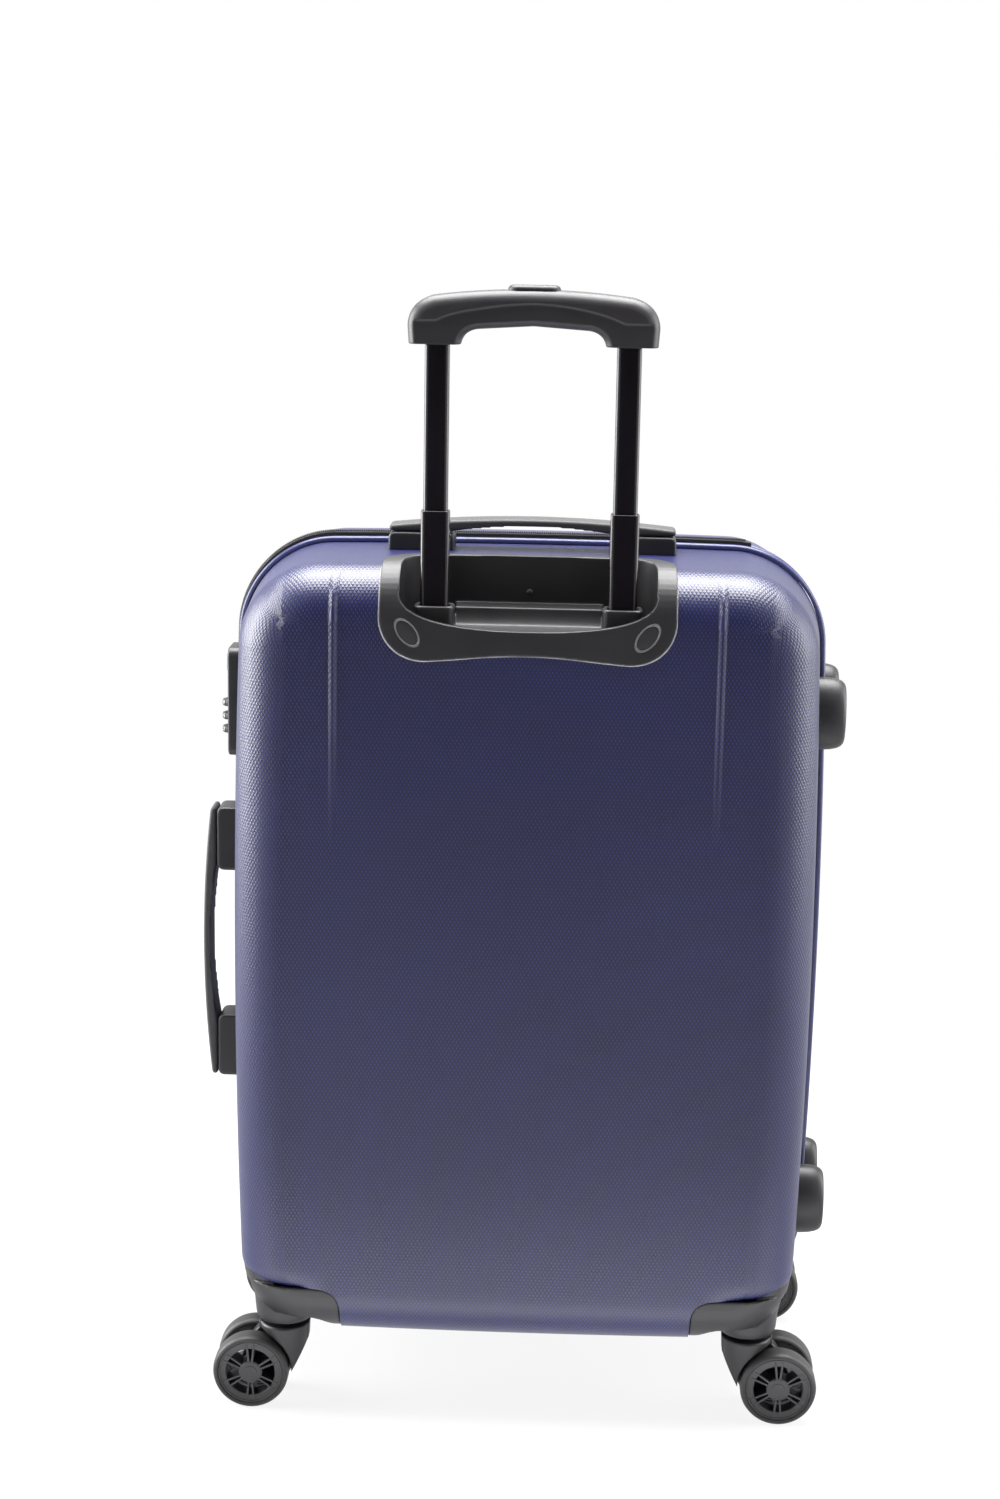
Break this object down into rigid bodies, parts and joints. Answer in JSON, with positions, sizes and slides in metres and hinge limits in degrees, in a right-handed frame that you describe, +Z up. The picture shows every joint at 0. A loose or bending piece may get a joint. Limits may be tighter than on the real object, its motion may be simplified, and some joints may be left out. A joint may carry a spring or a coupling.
{
  "type": "hard shell suitcase on wheels",
  "caption": "Upright hard shell travel case with a telescopic handle, carry handles, a zip seam with a dial lock, and swivel casters.",
  "frame": {"origin": "on the floor, under the middle of the seam between the two halves", "axes": "+Z up, +Y out of the front half, -Y out of the rear half with the telescopic handle, +X towards the hinged side"},
  "size_m": [0.4727, 0.266, 0.8326],
  "materials": {
    "shell_blue": "deep violet blue polycarbonate, embossed with a fine diamond texture",
    "piping_blue": "smooth satin blue moulded rim",
    "dark_plastic": "fine-grained satin moulded plastic",
    "grip_plastic": "satin moulded plastic",
    "handle_rubber": "matt flexible moulding",
    "zip_fabric": "woven black zip tape with coil teeth",
    "lining_fabric": "woven grey polyester lining",
    "black_aluminium": "black anodised extrusion, glossy",
    "steel": "plain bright steel",
    "zip_metal": "dark lacquered die cast metal",
    "tyre": "dark grey polyurethane on a nylon hub"
  },
  "bodies": {
    "rear_half": {"rear_shell": "shell_blue", "rear_piping": "piping_blue", "rear_zip_tape": "zip_fabric", "rear_left_corner_housing": "dark_plastic", "rear_right_corner_housing": "dark_plastic", "rear_lining": "lining_fabric", "hinge_strip": "zip_fabric", "screw_cover_left": "dark_plastic", "screw_cover_right": "dark_plastic", "trolley_housing": "dark_plastic", "tube_foot": "dark_plastic", "fixed_tube_left": "steel", "fixed_tube_right": "steel", "top_handle_bracket_left": "dark_plastic", "top_handle_bracket_right": "dark_plastic", "side_handle_bracket_lower": "dark_plastic", "side_handle_bracket_upper": "dark_plastic", "lock_body": "dark_plastic", "rear_side_foot_upper": "dark_plastic", "rear_side_foot_lower": "dark_plastic"},
    "front_half": {"front_shell": "shell_blue", "front_piping": "piping_blue", "front_zip_tape": "zip_fabric", "front_left_corner_housing": "dark_plastic", "front_right_corner_housing": "dark_plastic", "front_divider": "lining_fabric", "front_side_foot_upper": "dark_plastic", "front_side_foot_lower": "dark_plastic"},
    "lower_stage": {"lower_tube_left": "black_aluminium", "lower_tube_right": "black_aluminium"},
    "upper_stage": {"upper_tube_left": "black_aluminium", "upper_tube_right": "black_aluminium", "grip": "grip_plastic", "button_spring": "steel"},
    "release": {"release_button": "grip_plastic", "release_yoke": "steel"},
    "top_strap": {"top_handle_strap": "handle_rubber"},
    "side_strap": {"side_handle_strap": "handle_rubber"},
    "dial_1": {"lock_dial_1": "grip_plastic"},
    "dial_2": {"lock_dial_2": "grip_plastic"},
    "dial_3": {"lock_dial_3": "grip_plastic"},
    "lock_release": {"lock_button": "grip_plastic"},
    "upper_slider": {"zip_slider_upper": "zip_metal"},
    "lower_slider": {"zip_slider_lower": "zip_metal"},
    "rear_left_swivel": {"rear_left_fork": "dark_plastic", "rear_left_axle": "steel"},
    "rear_left_outer_wheel": {"rear_left_wheel_outer": "tyre"},
    "rear_left_inner_wheel": {"rear_left_wheel_inner": "tyre"},
    "rear_right_swivel": {"rear_right_fork": "dark_plastic", "rear_right_axle": "steel"},
    "rear_right_outer_wheel": {"rear_right_wheel_outer": "tyre"},
    "rear_right_inner_wheel": {"rear_right_wheel_inner": "tyre"},
    "front_left_swivel": {"front_left_fork": "dark_plastic", "front_left_axle": "steel"},
    "front_left_outer_wheel": {"front_left_wheel_outer": "tyre"},
    "front_left_inner_wheel": {"front_left_wheel_inner": "tyre"},
    "front_right_swivel": {"front_right_fork": "dark_plastic", "front_right_axle": "steel"},
    "front_right_outer_wheel": {"front_right_wheel_outer": "tyre"},
    "front_right_inner_wheel": {"front_right_wheel_inner": "tyre"}
  },
  "joints": [
    {"name": "lid_hinge", "type": "hinge", "parent": "rear_half", "child": "front_half", "pos_m": [0.2325, 0, 0.35], "axis": [0, 0, -1], "range_deg": [0, 180]},
    {"name": "lower_stage_slide", "type": "slide", "parent": "rear_half", "child": "lower_stage", "axis": [0, 0, 1], "range_m": [-0.0655, 0.1275]},
    {"name": "upper_stage_slide", "type": "slide", "parent": "lower_stage", "child": "upper_stage", "axis": [0, 0, 1], "range_m": [-0.113, 0.08]},
    {"name": "release_press", "type": "slide", "parent": "upper_stage", "child": "release", "axis": [0, 0, -1], "range_m": [0, 0.003], "stiffness_N_per_m": 900, "springref_m": -0.002, "deforming": ["button_spring"]},
    {"name": "top_handle_lift", "type": "slide", "parent": "rear_half", "child": "top_strap", "axis": [0, 0, 1], "range_m": [0, 0.008]},
    {"name": "side_handle_lift", "type": "slide", "parent": "rear_half", "child": "side_strap", "axis": [-1, 0, 0], "range_m": [0, 0.008]},
    {"name": "rear_left_swivel_turn", "type": "hinge", "parent": "rear_half", "child": "rear_left_swivel", "pos_m": [-0.1735, -0.09, 0.075], "axis": [0, 0, 1], "continuous": true},
    {"name": "rear_left_outer_wheel_spin", "type": "hinge", "parent": "rear_left_swivel", "child": "rear_left_outer_wheel", "pos_m": [-0.197, -0.1055, 0.02826], "axis": [0, 1, 0], "continuous": true},
    {"name": "rear_left_inner_wheel_spin", "type": "hinge", "parent": "rear_left_swivel", "child": "rear_left_inner_wheel", "pos_m": [-0.197, -0.0745, 0.02826], "axis": [0, 1, 0], "continuous": true},
    {"name": "rear_right_swivel_turn", "type": "hinge", "parent": "rear_half", "child": "rear_right_swivel", "pos_m": [0.1735, -0.09, 0.075], "axis": [0, 0, 1], "continuous": true},
    {"name": "rear_right_outer_wheel_spin", "type": "hinge", "parent": "rear_right_swivel", "child": "rear_right_outer_wheel", "pos_m": [0.197, -0.1055, 0.02826], "axis": [0, 1, 0], "continuous": true},
    {"name": "rear_right_inner_wheel_spin", "type": "hinge", "parent": "rear_right_swivel", "child": "rear_right_inner_wheel", "pos_m": [0.197, -0.0745, 0.02826], "axis": [0, 1, 0], "continuous": true},
    {"name": "front_left_swivel_turn", "type": "hinge", "parent": "front_half", "child": "front_left_swivel", "pos_m": [-0.1735, 0.09, 0.075], "axis": [0, 0, 1], "continuous": true},
    {"name": "front_left_outer_wheel_spin", "type": "hinge", "parent": "front_left_swivel", "child": "front_left_outer_wheel", "pos_m": [-0.197, 0.1055, 0.02826], "axis": [0, 1, 0], "continuous": true},
    {"name": "front_left_inner_wheel_spin", "type": "hinge", "parent": "front_left_swivel", "child": "front_left_inner_wheel", "pos_m": [-0.197, 0.0745, 0.02826], "axis": [0, 1, 0], "continuous": true},
    {"name": "front_right_swivel_turn", "type": "hinge", "parent": "front_half", "child": "front_right_swivel", "pos_m": [0.1735, 0.09, 0.075], "axis": [0, 0, 1], "continuous": true},
    {"name": "front_right_outer_wheel_spin", "type": "hinge", "parent": "front_right_swivel", "child": "front_right_outer_wheel", "pos_m": [0.197, 0.1055, 0.02826], "axis": [0, 1, 0], "continuous": true},
    {"name": "front_right_inner_wheel_spin", "type": "hinge", "parent": "front_right_swivel", "child": "front_right_inner_wheel", "pos_m": [0.197, 0.0745, 0.02826], "axis": [0, 1, 0], "continuous": true},
    {"name": "dial_1_turn", "type": "hinge", "parent": "rear_half", "child": "dial_1", "pos_m": [-0.2195, -0.025, 0.502], "axis": [0, 0, 1], "continuous": true},
    {"name": "dial_2_turn", "type": "hinge", "parent": "rear_half", "child": "dial_2", "pos_m": [-0.2195, -0.025, 0.512], "axis": [0, 0, 1], "continuous": true},
    {"name": "dial_3_turn", "type": "hinge", "parent": "rear_half", "child": "dial_3", "pos_m": [-0.2195, -0.025, 0.522], "axis": [0, 0, 1], "continuous": true},
    {"name": "lock_press", "type": "slide", "parent": "rear_half", "child": "lock_release", "axis": [1, 0, 0], "range_m": [0, 0.0015], "stiffness_N_per_m": 400, "springref_m": -0.001},
    {"name": "upper_slider_run", "type": "slide", "parent": "rear_half", "child": "upper_slider", "axis": [0.029, 0, 0.9996], "range_m": [0, 0.045]},
    {"name": "lower_slider_run", "type": "slide", "parent": "rear_half", "child": "lower_slider", "axis": [-0.026, 0, -0.9997], "range_m": [0, 0.12]}
  ]
}
